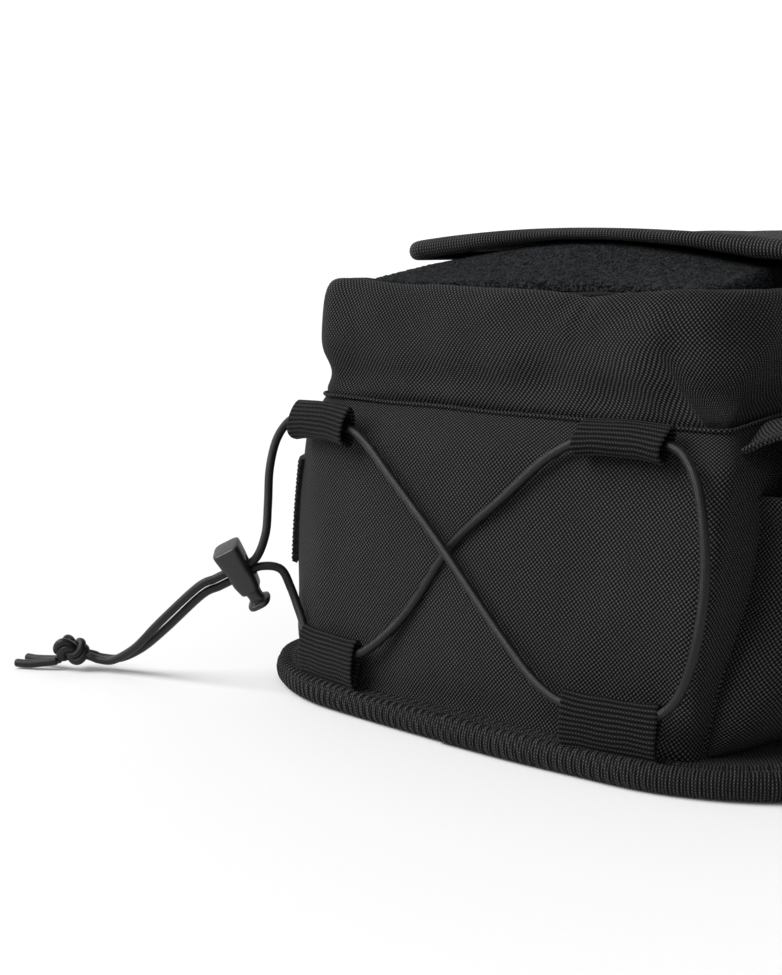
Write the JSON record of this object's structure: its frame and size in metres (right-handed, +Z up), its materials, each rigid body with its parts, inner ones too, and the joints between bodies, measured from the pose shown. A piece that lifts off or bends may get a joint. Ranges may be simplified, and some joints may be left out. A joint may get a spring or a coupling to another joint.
{
  "type": "soft gear bag",
  "caption": "Soft woven gear bag on a bound flat base, with a collar, padded lid, top flap, covered front pocket and elastic cord laced across one end.",
  "frame": {"origin": "middle of the underside of the base, on the surface it stands on", "axes": "+Z up, X along the bag with the corded end at -X, -Y the pocket side"},
  "size_m": [0.3428, 0.3074, 0.1594],
  "materials": {
    "cloth": "woven, matt",
    "tape": "ribbed, matt",
    "grip": "hook and loop",
    "foam": "matt",
    "lining": "smooth woven",
    "pile": "looped pile",
    "board": "matt",
    "cord": "braided, slight sheen",
    "lock": "satin",
    "spring": "bright"
  },
  "bodies": {
    "bag": {"base_cloth": "cloth", "floor_cloth": "cloth", "end_panel_left": "cloth", "end_panel_right": "cloth", "back_panel": "cloth", "divider_panel": "cloth", "pocket_face": "cloth", "collar": "cloth", "base_binding": "tape", "pocket_hem": "tape", "collar_welt": "tape", "loop_left_top_back": "tape", "loop_left_top_front": "tape", "loop_left_low_back": "tape", "loop_left_low_front": "tape", "loop_right_top_back": "tape", "loop_right_top_front": "tape", "loop_right_low_back": "tape", "loop_right_low_front": "tape", "lid_hinge_tape": "tape", "top_flap_hinge_tape": "tape", "back_grip_strip": "grip", "pocket_loop_strip": "grip", "base_foam": "foam", "end_foam_left": "foam", "end_foam_right": "foam", "back_foam": "foam", "divider_foam": "foam", "collar_foam": "foam", "lining": "lining", "base_board": "board", "lacing_cord": "cord", "cord_tail_upper": "cord", "cord_tail_lower": "cord", "cord_knot": "cord", "cord_tip_upper": "cord", "cord_tip_lower": "cord"},
    "lid": {"lid_pile": "pile", "lid_foam": "foam", "lid_lining": "lining"},
    "flap": {"top_flap": "cloth", "top_flap_binding": "tape", "top_flap_hook": "grip"},
    "pocket_cover": {"pocket_flap": "cloth", "pocket_flap_binding": "tape", "pocket_flap_hook": "grip"},
    "cord_lock": {"lock_barrel": "lock", "lock_spring": "spring"},
    "lock_button": {"lock_plunger": "lock"}
  },
  "joints": [
    {"name": "flap_hinge", "type": "hinge", "parent": "bag", "child": "flap", "pos_m": [0, -0.077, 0.143], "axis": [1, 0, 0], "range_deg": [0, 135]},
    {"name": "lid_hinge", "type": "hinge", "parent": "bag", "child": "lid", "pos_m": [0, -0.0655, 0.1405], "axis": [1, 0, 0], "range_deg": [0, 61]},
    {"name": "pocket_hinge", "type": "hinge", "parent": "bag", "child": "pocket_cover", "pos_m": [0, -0.08, 0.104], "axis": [-1, 0, 0], "range_deg": [0, 80]},
    {"name": "lock_slide", "type": "slide", "parent": "bag", "child": "cord_lock", "axis": [-0.5336, 0.7121, -0.4563], "range_m": [0, 0.012]},
    {"name": "lock_press", "type": "slide", "parent": "cord_lock", "child": "lock_button", "axis": [-0.4996, 0.1699, 0.8494], "range_m": [0, 0.003], "stiffness_N_per_m": 400, "springref_m": -0.003, "deforming": ["lock_spring"]}
  ],
  "couplings": [
    {"joint": "lid_hinge", "follows": "flap_hinge", "ratio": 0.45}
  ]
}
